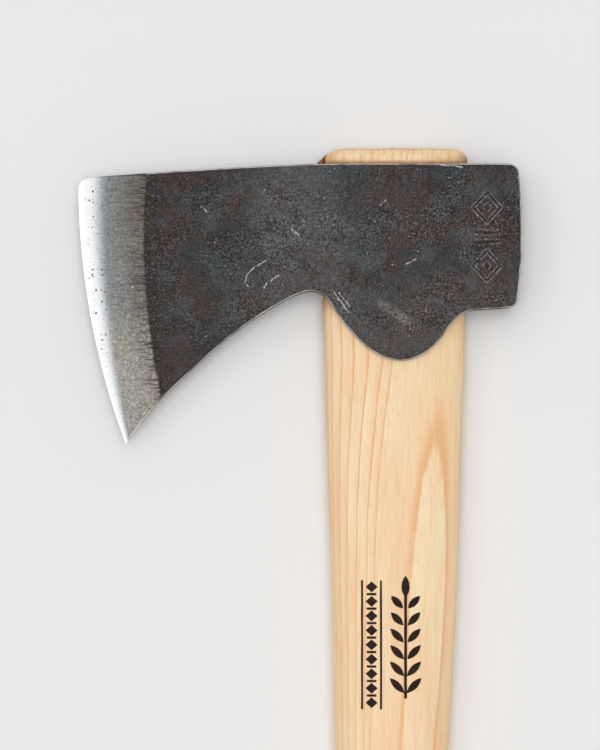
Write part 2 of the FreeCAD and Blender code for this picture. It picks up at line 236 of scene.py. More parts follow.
def head_curves():
    """The cutting edge, the crown, the poll face and the underside. They meet at the heel, on the
    rounded toe and on the two rounded corners of the poll."""
    toe_edge = edge_point(TOE_EDGE_Y)
    toe_middle = (toe_edge[0] + TOE_BOW, TOE_TOP[1] - TOE_BOW)
    edge_middle = edge_point((HEEL[1] + TOE_EDGE_Y) / 2)
    poll_middle = (POLL_BACK, (POLL_CORNER_TOP[1] + POLL_CORNER_LOW[1]) / 2)
    toe_low, toe_high = halves(arc(toe_edge, toe_middle, TOE_TOP, 25))
    crown_end, poll_top = halves(arc((POLL_TOP_X, 0), POLL_ROUND_TOP, POLL_CORNER_TOP, 13))
    under_end, poll_foot = halves(arc(POLL_CORNER_LOW, POLL_ROUND_LOW, POLL_UNDERSIDE, 13)[::-1])
    edge = chain(arc(HEEL, edge_middle, toe_edge, 160), toe_low)
    crown = chain(toe_high, spline([TOE_TOP] + TOP_LINE + [(CROWN_FRONT_X, 0)]),
                  [(CROWN_FRONT_X, 0), (POLL_TOP_X, 0)], crown_end)
    poll = chain(poll_foot, arc(POLL_CORNER_LOW, poll_middle, POLL_CORNER_TOP, 40), poll_top[::-1])
    under = chain(spline(UNDERSIDE + [HEEL])[::-1], [UNDERSIDE[0], POLL_UNDERSIDE], under_end)
    return edge, crown, poll, under


edge_line, crown_line, poll_line, under_line = head_curves()
shoulder_line = arc(SHOULDER[2], SHOULDER[1], SHOULDER[0], 60)


# --- the head's mesh ------------------------------------------------------------------------
def cheek_half(x, y):
    """Half thickness of the forged head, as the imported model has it, with soft flats."""
    t = np.clip((x - FLARE_FROM_X) / (FLARE_TO_X - FLARE_FROM_X), 0, None)
    blade = BLADE_HALF + (BULGE_HALF - BLADE_HALF) * smooth(t ** FLARE_POWER)
    t = np.clip((x - POLL_TAPER_FROM_X) / (POLL_BACK - POLL_TAPER_FROM_X), 0, None)
    poll = BULGE_HALF - (BULGE_HALF - POLL_HALF) * t * t
    thinning = LUG_THINNING * smooth((y - THIN_FROM_Y) / (THIN_TO_Y - THIN_FROM_Y))
    raw = np.minimum(blade, poll) * (1 - thinning)
    return 0.5 * (raw + CHEEK_HALF - np.sqrt((raw - CHEEK_HALF) ** 2 + FLAT_SOFTNESS))


def honed_width(y):
    return np.interp(y, *np.transpose(HONED_WIDTHS))


def from_edge(p):
    """How far inside the arc of the cutting edge a point lies."""
    return EDGE_RADIUS - np.linalg.norm(p - EDGE_CENTRE, axis=-1)


def distance_to(line, points):
    """The distance of each point from a polyline."""
    a, ab = line[:-1], np.diff(line, axis=0)
    flat = points.reshape(-1, 2)
    best = np.full(len(flat), np.inf)
    for start, step in zip(a, ab):
        t = np.clip((flat - start) @ step / max(step @ step, 1e-12), 0, 1)
        best = np.minimum(best, np.linalg.norm(flat - start - t[:, None] * step, axis=1))
    return best.reshape(points.shape[:-1])


def patch(left, right, low, high, u, v):
    """A grid between four boundary lines: low and high hold a point for each column."""
    u, low, high = u[:, None, None], low[:, None], high[:, None]
    w = v[..., None]
    corners = (1 - u) * (1 - w) * low[0] + u * (1 - w) * low[-1] \
        + (1 - u) * w * high[0] + u * w * high[-1]
    return (1 - w) * low + w * high + (1 - u) * along(left, v) + u * along(right, v) - corners


def rows_between(low, high, count):
    """Shares down each column, close together next to both ends for the rounded arrises."""
    length = np.linalg.norm(high - low, axis=1)[:, None]
    near = np.array(ARRIS_ROWS) * ARRIS * ARRIS_REACH
    near = np.minimum(near / length, np.linspace(0, 0.06, len(near)))
    middle = near[:, -1:] + (1 - 2 * near[:, -1:]) * np.linspace(0, 1, count)[1:-1]
    return np.concatenate([near, middle, 1 - near[:, ::-1]], axis=1)


def cheek_grid():
    """Points of one cheek, column by column from the cutting edge to the poll, and the number of
    columns on the ground bevel."""
    x_low, x_high = shoulder_line[0, 0], shoulder_line[-1, 0]
    shoulder = shoulder_line.copy()
    shoulder[0, 1] = np.interp(x_low, *under_line.T)
    shoulder[-1, 1] = np.interp(x_high, *crown_line.T)
    share = np.concatenate([np.linspace(0, NEAR_EDGE, EDGE_STEPS),
                            np.linspace(NEAR_EDGE, 1, EDGE_STEPS + 1)[1:]])
    low_a = along(part_of(under_line, under_line[0, 0], x_low), share)
    high_a = along(part_of(crown_line, crown_line[0, 0], x_high), share)

    to_eye = np.linspace(0, 1, round((-EYE_REACH - x_high) / BLADE_STEP))
    over_eye = np.linspace(-EYE_REACH, EYE_REACH, round(2 * EYE_REACH / BLADE_STEP))[1:]
    poll_length = crown_line[-1, 0] - EYE_REACH
    near = np.array([1.1] + ARRIS_ROWS[::-1]) * ARRIS * ARRIS_REACH / poll_length
    even = np.linspace(0, 1 - near[0], round(poll_length / STAMP_STEP))[1:]
    to_poll = np.concatenate([even, 1 - near[1:]])
    ends = []
    for line, x in ((under_line, x_low), (crown_line, x_high)):
        blade = along(part_of(line, x, -EYE_REACH), to_eye)
        eye = np.column_stack([over_eye, np.interp(over_eye, *line.T)])
        poll = along(part_of(line, EYE_REACH, line[-1, 0]), to_poll)
        ends.append(np.concatenate([blade, eye, poll]))
    low_b, high_b = ends
    middle_x = (low_b[:, 0] + high_b[:, 0]) / 2
    u_b = (middle_x - middle_x[0]) / (middle_x[-1] - middle_x[0])

    rows = round(MESH_HEIGHT / ROW_STEP)
    bevel = patch(edge_line, shoulder, low_a, high_a, share, rows_between(low_a, high_a, rows))
    body = patch(shoulder, poll_line, low_b, high_b, u_b, rows_between(low_b, high_b, rows))
    return np.concatenate([bevel, body[1:]]), len(bevel)


def bevel_half(points, back, back_half):
    """Half thickness on the ground bevel: flat from the shoulder, then honed round to the edge.
    back and back_half are how far in the shoulder of each row lies and its half thickness."""
    inside = np.clip(from_edge(points), 0, None)
    width = honed_width(points[..., 1])
    mean_slope = (HONED_SLOPE_EDGE + HONED_SLOPE_BACK) / 2
    flattening = (HONED_SLOPE_EDGE - mean_slope) * inside ** 2 / width
    honed = EDGE_LAND_HALF + HONED_SLOPE_EDGE * inside - flattening
    honed_half = EDGE_LAND_HALF + mean_slope * width
    share = (inside - width) / np.maximum(back - width, 1e-6)
    return np.where(inside < width, honed, honed_half + (back_half - honed_half) * share)


def rounded(depth_in, radius):
    """How far a rounded arris falls below the surface, depth_in inside the outline."""
    t = np.clip(1 - depth_in / radius, 0, 1)
    return radius * (1 - np.sqrt(1 - t * t))


NOISE_STEP = (17.3, 5.1, 9.7)    # how far apart the noises of two seeds are


def layered_noise(points, size, seed, octaves=1):
    """Smooth noise in about -1 to 1 at 3D points, for features of the given size."""
    shift = Vector([seed * step for step in NOISE_STEP])
    return np.array([noise.fractal(Vector(p) / size + shift, 1.0, 2.0, octaves) for p in points])


def lozenge(x, y, half_x, half_y):
    """Signed depth inside a lozenge, mm, about."""
    return (1 - np.abs(x) / half_x - np.abs(y) / half_y) * min(half_x, half_y)


def bar(x, y, half_x, half_y):
    return np.minimum(half_x - np.abs(x), half_y - np.abs(y))


def stroke(depth, width, soft):
    """1 along the outline of a shape, 0 away from it."""
    return 1 - smooth((np.abs(depth) - width) / soft)


def touchmark(x, y):
    """A plain maker's touchmark: two lozenges with a pair of bars between them."""
    x = x - STAMP_X
    marks = [stroke(lozenge(x, y - at, *STAMP_OUTLINE), *STAMP_STROKE) for at in STAMP_LOZENGES]
    marks += [smooth(lozenge(x, y - at, *STAMP_HEART) / STAMP_SOFT) for at in STAMP_LOZENGES]
    marks += [smooth(bar(x, y - at, *STAMP_BAR) / STAMP_SOFT) for at in STAMP_BARS]
    return np.max(marks, axis=0)


def touchmark_rim(x, y):
    """1 on the metal pushed up round the strokes of the touchmark."""
    moves = STAMP_SPREAD * np.array([(1, 0), (-1, 0), (0, 1), (0, -1)])
    spread = [touchmark(x + dx, y + dy) for dx, dy in moves]
    return smooth(np.sum(spread, axis=0) / 2) * (1 - touchmark(x, y))


def head_vertices():
    """Everything about the head's grids: points, thickness and the values its material reads."""
    grid, bevel_columns = cheek_grid()
    x, y = grid[..., 0], grid[..., 1]
    half = cheek_half(x, y)
    shoulder = grid[bevel_columns - 1]
    back = from_edge(shoulder)
    back_half = np.minimum(half[bevel_columns - 1], BEVEL_BACK_HALF + BEVEL_BACK_SLOPE * back)
    step = back_half - half[bevel_columns - 1]
    behind = distance_to(shoulder, grid)
    half = half + step * np.exp(-behind / SHOULDER_FADE)
    half[:bevel_columns] = bevel_half(grid[:bevel_columns], back, back_half)
    behind[:bevel_columns] *= -1

    outline = np.concatenate([under_line, poll_line, crown_line[::-1]])
    inside = distance_to(outline, grid)
    radius = np.minimum(ARRIS, np.where(behind < 0, BEVEL_ARRIS_SHARE, ARRIS_SHARE) * half)
    half = half - rounded(inside, radius)
    return grid, half, behind, inside


def forged(grid, half, behind, side):
    """The Z of one cheek's hammered, pitted and stamped surface."""
    x, y = grid[..., 0], grid[..., 1]
    points = np.column_stack([x.ravel(), y.ravel(), np.full(x.size, SIDE_SHIFT * side)])
    dents = sum(layered_noise(points, *kind) * depth for *kind, depth in DENTS)
    pits = -np.clip(layered_noise(points, *PITS) - PIT_START, 0, 1) * PIT_DEPTH
    offset = (dents + pits).reshape(x.shape) * smooth(behind / FORGED_FADE)
    if side > 0:
        offset += touchmark_rim(x, y) * STAMP_RIM - touchmark(x, y) * STAMP_DEPTH
    return np.minimum(half + offset, CHEEK_HALF) * side


def linked(name, data):
    """A new object in the scene."""
    piece = bpy.data.objects.new(name, data)
    bpy.context.scene.collection.objects.link(piece)
    return piece


def new_object(name, points, faces, values=None):
    """A mesh object from points in mm, with named values on its vertices."""
    mesh = bpy.data.meshes.new(name)
    mesh.from_pydata(to_row(points).tolist(), [], faces)
    for key, numbers in (values or {}).items():
        values_of = mesh.attributes.new(key, "FLOAT", "POINT").data
        values_of.foreach_set("value", np.asarray(numbers, np.float32))
    return linked(name, mesh)


def grid_faces(index, flip=False):
    """Quads over a 2D array of vertex numbers."""
    corners = [index[:-1, :-1], index[1:, :-1], index[1:, 1:], index[:-1, 1:]]
    quads = np.stack([c.ravel() for c in (corners[::-1] if flip else corners)], axis=1)
    return quads.tolist()


def build_head():
    """Both cheeks as grids, and the walls between them."""
    grid, half, behind, inside = head_vertices()
    columns, rows = grid.shape[:2]
    x, y = grid[..., 0], grid[..., 1]
    top = np.arange(columns * rows).reshape(columns, rows)
    foot = top + columns * rows
    surfaces = [forged(grid, half, behind, side).ravel() for side in (1, -1)]
    points = [np.column_stack([grid.reshape(-1, 2), z]) for z in surfaces]
    faces = grid_faces(top) + grid_faces(foot, flip=True)

    # the walls of the underside, the poll and the crown follow this loop
    loop = [(i, 0) for i in range(columns)] + [(columns - 1, j) for j in range(1, rows)] \
        + [(i, rows - 1) for i in range(columns - 2, -1, -1)]
    share = np.linspace(0, 1, WALL_STEPS + 1)[1:-1]
    loop_top = np.array([top[c] for c in loop])
    tops, feet = (cheek[loop_top] for cheek in points)
    wall = tops[:, None] + (feet - tops)[:, None] * share[None, :, None]
    forward = np.gradient(tops[:, :2], axis=0)
    outward = np.column_stack([forward[:, 1], -forward[:, 0]])
    outward /= np.linalg.norm(outward, axis=1)[:, None]
    thick = (tops[:, 2] - feet[:, 2])[:, None]
    rough = layered_noise(wall.reshape(-1, 3), *WALL_NOISE).reshape(thick.shape[0], -1)
    depth = WALL_HOLLOW + WALL_ROUGHNESS * rough
    fall = -depth * smooth(thick / WALL_FULL) * np.sin(np.pi * share) ** 0.5
    wall[..., :2] += outward[:, None] * fall[..., None]
    first = 2 * columns * rows
    inner = first + np.arange(wall.shape[0] * wall.shape[1]).reshape(wall.shape[:2])
    ladder = np.column_stack([loop_top, inner, loop_top + top.size])
    faces += grid_faces(ladder, flip=True)
    for j in range(rows - 1, 0, -1):
        face = [foot[0, j], foot[0, j - 1], top[0, j - 1], top[0, j]]
        if j == rows - 1:
            face += inner[-1].tolist()
        if j == 1:
            face[2:2] = inner[0][::-1].tolist()
        faces.append([int(k) for k in face])
    unmarked = np.zeros(foot.size + inner.size)
    parts = {
        "from_outline": [inside, inside, -np.minimum(share, 1 - share) * thick],
        "behind_shoulder": [behind, behind, np.repeat(behind.ravel()[loop_top], len(share))],
        "stamp_rim": [touchmark_rim(x, y), unmarked],
        "stamp": [touchmark(x, y), unmarked],
    }
    values = {name: np.concatenate([part.ravel() for part in row]) for name, row in parts.items()}
    points = np.concatenate(points + [wall.reshape(-1, 3)])
    front_and_back = ((corner.x - origin[0]) / MM for corner in (head_low, head_high))
    points[:, 0] = np.clip(points[:, 0], *front_and_back)
    values["honed"] = from_edge(points[:, :2]) / honed_width(points[:, 1])
    return new_object("forged_head", points, faces, values)


# --- the eye, the tongue and the handle -----------------------------------------------------
def oval(y, front, back, half, squareness, angles):
    """Points of an egg-shaped section across the handle."""
    c, s = np.cos(angles), np.sin(angles)
    x = np.sign(c) * np.abs(c) ** (2 / squareness)
    z = np.sign(s) * np.abs(s) ** (2 / squareness) * (1 + EGG * x)
    across = (front + back) / 2 + (back - front) / 2 * x
    return np.column_stack([across, np.full_like(x, y), half * z])


def eye_section(y):
    share = (y - EYE_BOTTOM[0]) / (EYE_TOP[0] - EYE_BOTTOM[0])
    return [b + (t - b) * share for b, t in zip(EYE_BOTTOM[1:], EYE_TOP[1:])] + [EYE_SQUARENESS]


def tube(rings, values=None, name="tube"):
    """A closed solid from rings of the same number of points, its ends closed by one face each."""
    rings = np.array(rings)
    count = rings.shape[1]
    index = np.arange(rings.shape[0] * count).reshape(rings.shape[:2])
    closed = np.column_stack([index, index[:, 0]])
    faces = grid_faces(closed, flip=True) + [index[0].tolist(), index[-1][::-1].tolist()]
    return new_object(name, rings.reshape(-1, 3), faces, values)


def facing_out(piece):
    """Turns all the faces of a closed mesh outwards."""
    work = bmesh.new()
    work.from_mesh(piece.data)
    bmesh.ops.recalc_face_normals(work, faces=work.faces)
    work.to_mesh(piece.data)
    work.free()
    return piece


def carve(piece, cutter):
    """Cuts the closed mesh of cutter out of piece, and removes cutter."""
    modifier = piece.modifiers.new("carve", "BOOLEAN")
    modifier.operation, modifier.solver, modifier.object = "DIFFERENCE", "MANIFOLD", cutter
    bpy.context.view_layer.update()
    evaluated = piece.evaluated_get(bpy.context.evaluated_depsgraph_get())
    carved = bpy.data.meshes.new_from_object(evaluated)
    piece.modifiers.remove(modifier)
    work = bmesh.new()
    work.from_mesh(carved)
    sided = [face for face in work.faces if len(face.verts) > 3]
    bmesh.ops.triangulate(work, faces=sided, quad_method="SHORT_EDGE", ngon_method="BEAUTY")
    work.to_mesh(carved)
    work.free()
    piece.data = carved
    bpy.data.objects.remove(cutter)


def eye_cutter():
    angles = np.linspace(0, 2 * np.pi, 120, endpoint=False)
    return facing_out(tube([oval(y, *eye_section(y), angles) for y in np.linspace(*EYE_CUT_Y, 28)]))


def slab_cutter(halves_z, ends_y, ends_x, turn=0.0, centre_x=0.0):
    """A slab that tapers from its top, which it goes on past, to its bottom. It is turned about
    the line X = centre_x, Z = 0."""
    (half_top, half_bottom), (top_y, bottom_y) = halves_z, ends_y
    over_y = top_y + CUTTER_REACH
    half_over = half_top + (half_top - half_bottom) / (top_y - bottom_y) * CUTTER_REACH
    corners = [(half_over, over_y), (half_bottom, bottom_y), (-half_bottom, bottom_y),
               (-half_over, over_y)]
    points = np.array([(x, y, z) for x in ends_x for z, y in corners])
    c, s = math.cos(turn), math.sin(turn)
    x, z = points[:, 0] * c + points[:, 2] * s, points[:, 2] * c - points[:, 0] * s
    points = np.column_stack([x + centre_x, points[:, 1], z])
    sides = [[k, k + 4, (k + 1) % 4 + 4, (k + 1) % 4] for k in range(4)]
    faces = [[0, 1, 2, 3], [7, 6, 5, 4]] + sides
    return facing_out(new_object("slab", points, faces))


def leaf(x, y, centre, angle, length, width):
    """Signed depth inside a pointed leaf, mm, about."""
    dx, dy = x - centre[0], y - centre[1]
    s = dx * math.cos(angle) + dy * math.sin(angle)
    t = dy * math.cos(angle) - dx * math.sin(angle)
    return width / 2 * (1 - np.clip(np.abs(2 * s / length), 0, 2) ** 2) - np.abs(t)


def burned_mark(x, y):
    """A plain burned-in ornament: an ear of leaves beside a border of lozenges and bars."""
    x, y = x - MARK_CENTRE[0], y - MARK_CENTRE[1]
    shapes = [bar(x - STEM_X, y, *STEM_HALF), leaf(x, y, (STEM_X, TOP_LEAF_Y), math.pi / 2, *TOP_LEAF)]
    for k in range(LEAF_PAIRS):
        foot = FIRST_PAIR_Y + PAIR_PITCH * k
        for side in (-1, 1):
            tilt = math.radians(90 - side * LEAF_TILT)
            centre = (STEM_X + side * LEAF_OFFSET[0], foot + LEAF_OFFSET[1])
            shapes.append(leaf(x, y, centre, tilt, LEAF_LENGTH - LEAF_SHRINK * k, LEAF_WIDTH))
    shapes += [bar(x - BORDER_X - side * RAIL_X, y, *RAIL_HALF) for side in (-1, 1)]
    for k in range(LOZENGES):
        at = FIRST_LOZENGE_Y + LOZENGE_PITCH * k
        shapes.append(lozenge(x - BORDER_X, y - at, *LOZENGE_HALF))
        if k:
            shapes.append(bar(x - BORDER_X, y - at + LOZENGE_PITCH / 2, *RUNG_HALF))
    return smooth(np.max(shapes, axis=0) / MARK_SOFT + 0.5)


def dense_angles():
    """Angles round a section, closer together on its upper face."""
    a = np.linspace(0, 2 * np.pi, 4001)
    density = 1 + CROWDING * smooth((CROWDED_ANGLE - np.abs(a - np.pi / 2)) / CROWDED_FADE)
    total = np.concatenate([[0], np.cumsum((density[1:] + density[:-1]) / 2)])
    return np.interp(np.arange(RING_POINTS) / RING_POINTS, total / total[-1], a)


def drawn_in(ring, share):
    """A ring made smaller about its middle."""
    centre = ring.mean(axis=0)
    return centre + (ring - centre) * share


def butt_rings(front, back, half, squareness, angles):
    """Rings over the flat end of the handle and its rounded rim."""
    def ring(y, inset):
        return oval(y, front + inset, back - inset, half - inset, squareness, angles)

    flat = ring(BUTT_Y, BUTT_CHAMFER)
    rings = [drawn_in(flat, share) for share in np.linspace(END_SHARE, 1, 10)[:-1]]
    for turn in np.linspace(0, np.pi / 2, 6):
        inset = BUTT_CHAMFER * (1 - math.sin(turn))
        rings.append(ring(BUTT_Y + BUTT_CHAMFER * (1 - math.cos(turn)), inset))
    return rings


def grip_rings(angles):
    """Rings from the butt to the foot of the eye, close together under the burned mark."""
    stations = np.array([(*EYE_BOTTOM, EYE_SQUARENESS)] + GRIP_SECTIONS)[::-1]
    rings = butt_rings(*stations[0, 1:], angles)
    mark_low, mark_high = (MARK_CENTRE[1] + side * MARK_HALF[1] for side in (-1, 1))
    stretches = [(stations[0, 0], mark_low, RING_STEP), (mark_low, mark_high, MARK_STEP),
                 (mark_high, EYE_BOTTOM[0], RING_STEP)]
    for start, stop, step in stretches:
        for y in np.linspace(start, stop, round((stop - start) / step) + 1)[1:]:
            section = cubic(stations[:, 0], stations[:, 1:], np.array([y]))[0]
            rings.append(oval(y, *section, angles))
    return rings


def tongue_rings(angles):
    """Rings up through the eye and over the rounded top of the tongue."""
    nose_line, tail_line, shoulder = (arc(*line).T[::-1] for line in TONGUE_ARCS)
    through_eye = np.linspace(EYE_BOTTOM[0], 0, 26)[1:]
    above_eye = np.linspace(0, tail_line[0, -1], 11)[1:]
    rings = []
    for y in np.concatenate([through_eye, above_eye]):
        front, back, half, squareness = eye_section(y)
        nose, tail = (TONGUE_FRONT_X if y > NOSE_FROM_Y else front), back
        if y > 0:
            nose = max(nose, np.interp(y, *nose_line) + TONGUE_CLEARANCE)
            tail = min(tail, np.interp(y, *tail_line) - TONGUE_CLEARANCE)
            half = min(half, np.interp(y, *shoulder))
        sides = (front + TONGUE_CLEARANCE, back - TONGUE_CLEARANCE, half - TONGUE_CLEARANCE)
        ring = oval(y, *sides, squareness + 0.5 * smooth(y / 4), angles)
        ring[:, 0] = np.clip(ring[:, 0], nose, tail)
        rings.append(ring)
    last = rings[-1]
    for share in np.linspace(1, END_SHARE, 12)[1:]:
        ring = drawn_in(last, share)
        ring[:, 1] = TONGUE_TOP_Y - (TONGUE_TOP_Y - last[0, 1]) * share ** 5
        rings.append(ring)
    return rings


def build_handle():
    """The handle with its burned mark, cut by the kerf and by the slots of the steel wedge."""
    angles = dense_angles()
    rings = np.array(grip_rings(angles) + tongue_rings(angles))
    points = rings.reshape(-1, 3)
    off_mark = np.abs(points[:, :2] - MARK_CENTRE)
    near = (points[:, 2] > 0) & (off_mark < MARK_HALF).all(axis=1)
    burn = np.zeros(len(points))
    burn[near] = burned_mark(points[near, 0], points[near, 1])
    uneven = layered_noise(points, *PLANED_NOISE)
    points[:, 2] -= burn * MARK_DEPTH
    points[:, 2] *= 1 - (PLANED + PLANED_UNEVENLY * uneven)
    piece = facing_out(tube(points.reshape(rings.shape), {"burn": burn}, "shaped_handle"))
    carve(piece, slab_cutter(KERF_HALVES, (TONGUE_TOP_Y, KERF_BOTTOM_Y), (-KERF_REACH, KERF_REACH)))
    for leg in range(STEEL_LEGS):
        turn = math.radians(STEEL_FIRST_LEG + 360 / STEEL_LEGS * leg)
        carve(piece, slab_cutter(STEEL_HALVES, (TONGUE_TOP_Y, TONGUE_TOP_Y - STEEL_DEPTH),
                                 (0, STEEL_LEG_LENGTH), turn, STEEL_WEDGE_X))
    return piece


# --- material helpers -----------------------------------------------------------------------
class Graph:
    """A material's node tree, with short calls for the nodes used here."""

    def __init__(self, name):
        self.material = bpy.data.materials.new(name)
        self.material.use_nodes = True
        self.tree = self.material.node_tree
        self.tree.nodes.clear()

    def node(self, kind, inputs=(), **settings):
        """A new node. inputs gives what goes into its sockets, by their names or numbers."""
        node = self.tree.nodes.new("ShaderNode" + kind)
        for name, value in settings.items():
            setattr(node, name, value)
        for key, value in dict(inputs).items():
            if isinstance(value, bpy.types.NodeSocket):
                self.tree.links.new(value, node.inputs[key])
            else:
                node.inputs[key].default_value = value
        return node

    def math(self, operation, a, b=0.0, clamp=False):
        return self.node("Math", {0: a, 1: b}, operation=operation, use_clamp=clamp).outputs[0]

    def add(self, a, b):
        return self.math("ADD", a, b)

    def minus(self, a, b):
        return self.math("SUBTRACT", a, b)

    def times(self, a, b):
        return self.math("MULTIPLY", a, b)

    def centred(self, noise, reach):
        """A noise from 0 to 1 turned into one about zero, reach from its lowest to its highest."""
        return self.times(self.add(noise, -0.5), reach)

    def step(self, value, low, high, out_low=0.0, out_high=1.0):
        """A smooth step of value from low to high."""
        inputs = {0: value, 1: low, 2: high, 3: out_low, 4: out_high}
        return self.node("MapRange", inputs, interpolation_type="SMOOTHSTEP").outputs[0]

    def place(self, size=1.0, shift=(0, 0, 0)):
        """Position in mm in the row's frame, divided by a feature's size, or its size on each axis."""
        scale = (1 / MM / np.broadcast_to(size, 3)).tolist()
        position = self.node("TexCoord").outputs["Object"]
        return self.node("Mapping", {"Vector": position, "Location": shift, "Scale": scale}).outputs[0]

    def noise(self, size, detail=2.0, rough=0.5, shift=(0, 0, 0), warp=0.0, output="Fac"):
        inputs = {"Vector": self.place(size, shift), "Scale": 1.0, "Detail": detail,
                  "Roughness": rough, "Distortion": warp}
        return self.node("TexNoise", inputs).outputs[output]

    def cells(self, size, shift=(0, 0, 0)):
        """Distance to the nearest of scattered points, and random numbers for that point."""
        found = self.node("TexVoronoi", {"Vector": self.place(size, shift), "Scale": 1.0}).outputs
        return found["Distance"], self.split(found["Color"])

    def value(self, name):
        return self.node("Attribute", attribute_name=name).outputs["Fac"]

    def split(self, vector):
        return self.node("SeparateXYZ", {0: vector}).outputs

    def facing(self, axis):
        """1 where the surface faces along an axis, either way, and 0 where it is edge on to it."""
        normal = self.node("TexCoord").outputs["Normal"]
        return self.math("ABSOLUTE", self.split(normal)[axis])

    def mix(self, share, a, b, kind="RGBA", blend="MIX"):
        """Between a and b: colours, or numbers or vectors if kind says so. A colour of three
        numbers is one on a screen, 0 to 255, and a colour of four is linear."""
        a, b = (srgb(*v) if isinstance(v, tuple) and len(v) == 3 else v for v in (a, b))
        slot = ("FLOAT", "VECTOR", "RGBA").index(kind)
        inputs = {0: share, 2 * slot + 2: a, 2 * slot + 3: b}
        return self.node("Mix", inputs, data_type=kind, blend_type=blend).outputs[slot]

    def blend(self, share, a, b):
        return self.mix(share, a, b, "FLOAT")

    def paint(self, colour, *coats):
        """Lays coats over a colour, one after another. Each is a colour, after the shares to
        multiply that say where it lies."""
        for *shares, coat in coats:
            colour = self.mix(reduce(self.times, shares), colour, coat)
        return colour

    def bump(self, height, distance, strength):
        inputs = {"Height": height, "Distance": distance * MM, "Strength": strength}
        return self.node("Bump", inputs).outputs[0]

    def vector(self, operation, a, b):
        inputs = {0: a, "Scale" if operation == "SCALE" else 1: b}
        node = self.node("VectorMath", inputs, operation=operation)
        return node.outputs["Value" if operation in ("DOT_PRODUCT", "DISTANCE") else "Vector"]

    def scratch(self, flat, start, stop, width):
        """1 along the straight line between two points of the plane of flat, 0 off it."""
        span = np.subtract(stop, start)
        across = self.vector("SUBTRACT", flat, (*start, 0.0))
        share = self.vector("DOT_PRODUCT", across, (*(span / (span @ span)), 0.0))
        nearest = self.vector("SCALE", (*span, 0.0), self.math("ADD", share, 0.0, clamp=True))
        return self.step(self.vector("DISTANCE", across, nearest), width, width * SCRATCH_CORE)

    def finish(self, **sockets):
        """Adds the shader, with the sockets' spaces written as underscores."""
        inputs = {name.replace("_", " "): value for name, value in sockets.items()}
        self.node("OutputMaterial", {"Surface": self.node("BsdfPrincipled", inputs).outputs[0]})
        return self.material


def srgb(red, green, blue):
    """A colour given as it looks on a screen, 0 to 255."""
    def linear(v):
        v /= 255
        return v / 12.92 if v <= 0.04045 else ((v + 0.055) / 1.055) ** 2.4
    return (linear(red), linear(green), linear(blue), 1.0)


# --- the head's material --------------------------------------------------------------------
# Where the steel's looks change, mm: each change comes in from the first value to the second
LUG_X, LUG_Y = (-34.0, -16.0), (-26.0, -58.0)
DARK_BLADE_X = (-28.0, -52.0)
FEWER_FLECKS_X = (-44.0, -62.0)
# the painted sheen: a lighter blue-grey band across the flare between the blade and the eye, in place of
# a soft reflection
SHEEN_FRONT_X, SHEEN_BACK_X = (-52.0, -34.0), (-12.0, -26.0)
BROW_X, BROW_Y = (0.0, 14.0), (-40.0, -24.0)
HEEL_Y, TOE_Y, PITTED_EDGE_Y = (-38.0, -66.0), (-38.0, -12.0), (-66.0, -50.0)
RARE = (0.84, 0.86)    # the random number that a speck's point has to pass
# Bright scratches on the upper cheek, mm: the points that each one runs through, and half its width
SCRATCHES = [
    ([(-41.4, -30.8), (-45.0, -32.6), (-47.6, -35.2), (-48.2, -37.8), (-46.4, -39.4)], 0.22),
    ([(-42.2, -39.3), (-41.2, -37.9)], 0.38),
    ([(-39.9, -37.3), (-37.3, -35.6)], 0.32),
    ([(-33.0, -20.9), (-31.0, -22.8)], 0.36),
    ([(-5.1, -13.3), (-3.5, -11.7)], 0.34),
    ([(-19.9, -41.0), (-15.2, -47.3)], 0.31),
    ([(-18.3, -41.2), (-14.8, -45.3)], 0.26),
    ([(2.8, -32.1), (6.1, -30.5)], 0.34),
    ([(14.0, -0.5), (21.0, -1.1)], 0.34),
    ([(-62.0, -13.5), (-60.4, -15.0)], 0.29),
]
SMEAR = ((-4.6, -44.6), (3.4, -50.0), 2.2)   # a broad, faint scratch: its ends and half its width
SCRATCH_CORE = 0.25    # share of the half width at which a scratch is at its brightest


def steel_fields(g):
    """What the steel's looks are worked out from: places on the head, mm, and noises."""
    flat = g.place((1, 1, 1e6), shift=(-origin[0] / MM, -origin[1] / MM, 0))
    x, y, _ = g.split(flat)
    return SimpleNamespace(
        flat=flat, x=x, y=y, heel=g.step(y, *HEEL_Y),
        behind=g.value("behind_shoulder"), honed=g.value("honed"), inside=g.value("from_outline"),
        patches=g.noise(6, 4.0, 0.6, shift=(3, 1, 2)),
        blotch=g.noise(7.5, 3.0, shift=(9, 4, 7)),
        grain=g.noise(0.66, 2.0, 0.6),
        worms=g.noise((0.55, 1.2, 0.8), 2.0, 0.55, shift=(8, 3, 1), warp=1.2),
        scratches=g.noise((3.6, 0.42, 3.0), 3.0, 0.6, warp=0.3),
        speckle=g.noise(0.8, 2.0, 0.6, shift=(2, 2, 6)),
    )


def specks(g, size, radius, shift=(0, 0, 0)):
    """Rare specks, and a random number for each of them."""
    spot, pick = g.cells(size, shift)
    return g.times(g.step(spot, *radius), g.step(pick[0], *RARE)), pick[1]


